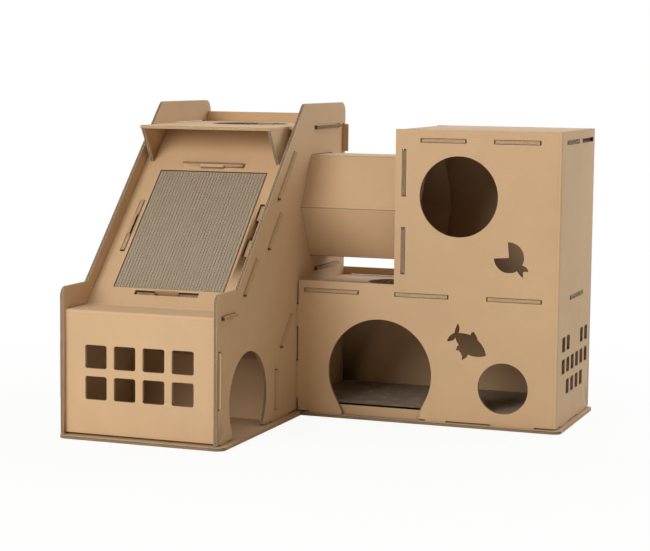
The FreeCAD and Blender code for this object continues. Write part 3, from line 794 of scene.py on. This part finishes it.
def scratching_pad(look, pad, node, origin, across, along, out, width, length, thickness, steps):
    """Strips of board glued side by side, with their open cells facing out."""
    strip = pad.strip
    count = round(width / strip)
    strip = width / count
    parcel = Parcel()
    liner = look.liner * 1.3
    depth = pad.open_depth

    def at(u, v, d):
        return origin + across * u + along * v - out * d

    near = 0.43
    for i in range(count):
        start = i * strip
        lines = (start, start + strip * near)
        for line in lines:
            parcel.strip([[at(line, 0, depth), at(line, 0, 0)],
                          [at(line, length, depth), at(line, length, 0)]], slot=0, smooth=False)
            parcel.strip([[at(line, 0, 0), at(line + liner, 0, 0)],
                          [at(line, length, 0), at(line + liner, length, 0)]],
                         slot=1, smooth=False)
            parcel.strip([[at(line + liner, 0, 0), at(line + liner, 0, depth)],
                          [at(line + liner, length, 0), at(line + liner, length, depth)]],
                         slot=0, smooth=False)
        for low, high, pitch in ((start + liner, start + strip * near, look.near_pitch),
                                 (start + strip * near + liner, start + strip, look.far_pitch)):
            shift = noise.noise(Vector((i * 3.7, low * 90.0, 1.3))) * 9.0
            centre = (low + high) / 2
            swing = (high - low) / 2 - look.medium / 2
            total = max(2, math.ceil(length / pitch * steps))
            first = []
            second = []
            for j in range(total + 1):
                v = length * j / total
                drift = noise.noise(Vector((i * 1.7, v * 14.0, 4.0))) * 0.8
                wave = math.sin(2 * math.pi * v / pitch + shift + drift)
                u = centre + swing * wave
                worn = 0.0004 + 0.0004 * noise.noise(Vector((u * 40.0, v * 40.0, 2.0)))
                first.append([at(u - look.medium / 2, v, depth), at(u - look.medium / 2, v, worn)])
                second.append([at(u + look.medium / 2, v, worn),
                               at(u + look.medium / 2, v, depth)])
            parcel.strip(first, slot=0)
            parcel.strip(second, slot=0)
            parcel.strip([[f[1], s[0]] for f, s in zip(first, second)], slot=1, smooth=False)
    # Body of the pad under the open cells
    for u0, v0, u1, v1 in ((0, 0, width, 0), (width, 0, width, length),
                           (width, length, 0, length), (0, length, 0, 0)):
        parcel.face([at(u0, v0, 0), at(u1, v1, 0), at(u1, v1, thickness), at(u0, v0, thickness)],
                    slot=2)
    parcel.face([at(0, 0, depth), at(width, 0, depth), at(width, length, depth),
                 at(0, length, depth)], slot=0)
    parcel.face([at(0, 0, thickness), at(0, length, thickness), at(width, length, thickness),
                 at(width, 0, thickness)], slot=2)
    # The cells' walls and floors are painted dark as shade inside them
    cells = edge_finish(node + "_cells", tuple(pad.cell_shade_colour), 3.0)
    rims = edge_finish(node + "_cell_edges", tuple(pad.rim_colour), 4.0)
    side = kraft_finish(node + "_side", tuple(look.kraft), along, [], 5.0, look.near_pitch)
    piece = parcel.made(node + "_strips", [cells, rims, side])
    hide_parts(node)


# Operators

def looks(context):
    return context.scene.castle_board, context.scene.castle_pad, context.scene.castle_stage


class CastleOperator(bpy.types.Operator):
    """One group of the castle's sheets"""
    bl_options = {"REGISTER", "UNDO"}
    nodes = ()

    def execute(self, context):
        board = context.scene.castle_board
        for node in self.nodes:
            axis, side = SHEETS[node]
            corrugated_sheet(board, node, axis, side, 10.0 + 3.0 * list(SHEETS).index(node))
        return {"FINISHED"}


class CASTLE_OT_tower_sides(CastleOperator):
    """Dress the tower's two side panels"""
    bl_idname = "castle.tower_sides"
    bl_label = "Tower sides"
    nodes = ("tower_left_side", "tower_right_side")


class CASTLE_OT_slide(CastleOperator):
    """Dress the folded sheet of front wall, shelf and slope, and what hangs under it"""
    bl_idname = "castle.slide"
    bl_label = "Front wall and slope"
    nodes = ("slide_sheet", "pad_tray", "pad_support")


class CASTLE_OT_tower_roof(CastleOperator):
    """Dress the tower's roof with its awning, the rear panel and the inner ramp"""
    bl_idname = "castle.tower_roof"
    bl_label = "Tower roof and inside"
    nodes = ("tower_roof_awning", "tower_rear_panel", "inner_ramp")


class CASTLE_OT_bases(CastleOperator):
    """Dress the two base plates"""
    bl_idname = "castle.bases"
    bl_label = "Base plates"
    nodes = ("tower_base", "house_base")


class CASTLE_OT_tunnel(CastleOperator):
    """Dress the six-sided tunnel"""
    bl_idname = "castle.tunnel"
    bl_label = "Tunnel"
    nodes = ("tunnel",)


class CASTLE_OT_house(CastleOperator):
    """Dress the house's walls, floor and roof"""
    bl_idname = "castle.house"
    bl_label = "House"
    nodes = ("house_front_side", "house_back_panel", "middle_floor", "upper_left_wall",
             "house_roof")


class CASTLE_OT_pads(bpy.types.Operator):
    """Make the two scratching pads of glued strips"""
    bl_idname = "castle.pads"
    bl_label = "Scratching pads"
    bl_options = {"REGISTER", "UNDO"}

    def execute(self, context):
        board, pad, _ = looks(context)
        low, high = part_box("slope_scratch_pad")
        lean = math.radians(SLOPE_ANGLE)
        along = Vector((0, math.cos(lean), math.sin(lean)))
        out = Vector((0, -math.sin(lean), math.cos(lean)))
        corners = [v.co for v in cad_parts["slope_scratch_pad"].data.vertices]
        reach = [c.dot(along) for c in corners]
        rise = [c.dot(out) for c in corners]
        origin = X * low.x + along * min(reach) + out * max(rise)
        scratching_pad(board, pad, "slope_scratch_pad", origin, X, along, out,
                       high.x - low.x, max(reach) - min(reach), max(rise) - min(rise), 6)
        low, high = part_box("house_floor_pad")
        scratching_pad(board, pad, "house_floor_pad", Vector((low.x, low.y, high.z)), Y, X, Z,
                       high.y - low.y, high.x - low.x, high.z - low.z, 4)
        return {"FINISHED"}


class CASTLE_OT_stage(bpy.types.Operator):
    """Make the pale floor, the lights and the camera"""
    bl_idname = "castle.stage"
    bl_label = "Stage"
    bl_options = {"REGISTER", "UNDO"}

    def execute(self, context):
        stage = context.scene.castle_stage
        floor_mesh = bpy.data.meshes.new("floor")
        far = 30.0
        floor_mesh.from_pydata([(-far, -far, -0.0005), (far, -far, -0.0005), (far, far, -0.0005),
                                (-far, far, -0.0005)], [], [(0, 1, 2, 3)])
        floor = bpy.data.objects.new("floor", floor_mesh)
        context.scene.collection.objects.link(floor)
        finish = Finish("pale_floor")
        finish.wire("Base Color", (0.86, 0.84, 0.80))
        finish.wire("Roughness", 0.9)
        glow = finish.node("ShaderNodeEmission", None,
                           {"Color": (1.0, 1.0, 1.0, 1.0), "Strength": 1.0})
        path = finish.tree.nodes.new("ShaderNodeLightPath")
        seen = (Link(finish, path.outputs["Is Camera Ray"])
                + Link(finish, path.outputs["Is Glossy Ray"])
                + Link(finish, path.outputs["Is Transmission Ray"]))
        out = finish.vector("LENGTH", finish.place, (0, 0, 0), "Value")
        white = finish.span(out, 0.5, 1.8, 0.93, 1.0)
        mixed = finish.node("ShaderNodeMixShader", None,
                            {0: seen * white, 1: Link(finish, finish.shader.outputs[0]), 2: glow})
        output = finish.tree.nodes["Material Output"]
        finish.tree.links.new(mixed.socket, output.inputs["Surface"])
        floor_mesh.materials.append(finish.material)

        cool = tuple(stage.cool)
        lamp(context, "key", (-1.4, -3.8, 1.9), (0.0, 0.0, 0.3), 2.4, stage.key)
        lamp(context, "overhead", (0.2, 1.9, 3.2), (0.0, 0.0, 0.0), 3.0, stage.top, cool)
        lamp(context, "side", (3.2, 3.0, 1.9), (0.3, 0.2, 0.3), 2.0, stage.side, cool)

        world = bpy.data.worlds.new("surroundings")
        context.scene.world = world
        world.use_nodes = True
        tree = world.node_tree
        shown = tree.nodes["Background"]
        shown.inputs["Color"].default_value = (1, 1, 1, 1)
        shown.inputs["Strength"].default_value = 1.0
        light = tree.nodes.new("ShaderNodeBackground")
        light.inputs["Color"].default_value = (*stage.warm, 1)
        light.inputs["Strength"].default_value = stage.world
        path = tree.nodes.new("ShaderNodeLightPath")
        total = path.outputs["Is Camera Ray"]
        for ray in ("Is Glossy Ray", "Is Transmission Ray"):
            added = tree.nodes.new("ShaderNodeMath")
            tree.links.new(total, added.inputs[0])
            tree.links.new(path.outputs[ray], added.inputs[1])
            total = added.outputs[0]
        blend = tree.nodes.new("ShaderNodeMixShader")
        tree.links.new(total, blend.inputs[0])
        tree.links.new(light.outputs[0], blend.inputs[1])
        tree.links.new(shown.outputs[0], blend.inputs[2])
        tree.links.new(blend.outputs[0], tree.nodes["World Output"].inputs["Surface"])

        place = Vector(CAMERA_PLACE)
        turn = camera_turn(*CAMERA_ANGLES)
        data = bpy.data.cameras.new("photo_camera")
        data.sensor_width = SENSOR_WIDTH
        data.lens = FOCAL_PIXELS / PHOTO_WIDTH * SENSOR_WIDTH
        data.clip_start = 0.1
        data.clip_end = 100.0
        camera = bpy.data.objects.new("photo_camera", data)
        camera.matrix_world = Matrix.Translation(place) @ turn.to_4x4()
        context.scene.collection.objects.link(camera)
        context.scene.camera = camera
        context.scene.view_settings.view_transform = "Standard"
        return {"FINISHED"}


def camera_turn(pitch, yaw, roll):
    """Rotation of the camera from its fitted angles."""
    turn = (Matrix.Rotation(roll, 3, "Z") @ Matrix.Rotation(pitch, 3, "X")
            @ Matrix.Rotation(yaw, 3, "Y"))
    base = Matrix(((1, 0, 0), (0, 0, -1), (0, 1, 0)))
    right, down, ahead = (turn @ base).row
    return Matrix((right, -down, -ahead)).transposed()


def lamp(context, name, place, target, size, power, colour=(1.0, 1.0, 1.0)):
    data = bpy.data.lights.new(name, "AREA")
    data.shape = "DISK"
    data.size = size
    data.energy = power
    data.color = colour
    made = bpy.data.objects.new(name, data)
    place = Vector(place)
    made.location = place
    made.rotation_mode = "QUATERNION"
    made.rotation_quaternion = (Vector(target) - place).to_track_quat("-Z", "Y")
    context.scene.collection.objects.link(made)


class CASTLE_PT_panel(bpy.types.Panel):
    """The castle's sheets, pads and stage"""
    bl_idname = "CASTLE_PT_panel"
    bl_label = "Cardboard castle"
    bl_space_type = "VIEW_3D"
    bl_region_type = "UI"
    bl_category = "Castle"

    def draw(self, context):
        for group in looks(context):
            box = self.layout.box()
            for name in group.bl_rna.properties.keys():
                if name not in ("rna_type", "name"):
                    box.prop(group, name)
        for operator in OPERATORS:
            self.layout.operator(operator.bl_idname)


OPERATORS = (CASTLE_OT_tower_sides, CASTLE_OT_slide, CASTLE_OT_tower_roof, CASTLE_OT_bases,
             CASTLE_OT_tunnel, CASTLE_OT_house, CASTLE_OT_pads, CASTLE_OT_stage)
CLASSES = (BoardLook, PadLook, StageLook) + OPERATORS + (CASTLE_PT_panel,)


def register():
    for cls in CLASSES:
        bpy.utils.register_class(cls)
    bpy.types.Scene.castle_board = PointerProperty(type=BoardLook)
    bpy.types.Scene.castle_pad = PointerProperty(type=PadLook)
    bpy.types.Scene.castle_stage = PointerProperty(type=StageLook)


def unregister():
    del bpy.types.Scene.castle_stage
    del bpy.types.Scene.castle_pad
    del bpy.types.Scene.castle_board
    for cls in reversed(CLASSES):
        bpy.utils.unregister_class(cls)


def main():
    register()
    bpy.ops.castle.tower_sides()
    bpy.ops.castle.slide()
    bpy.ops.castle.tower_roof()
    bpy.ops.castle.bases()
    bpy.ops.castle.tunnel()
    bpy.ops.castle.house()
    bpy.ops.castle.pads()
    bpy.ops.castle.stage()


if __name__ == "__main__":
    main()
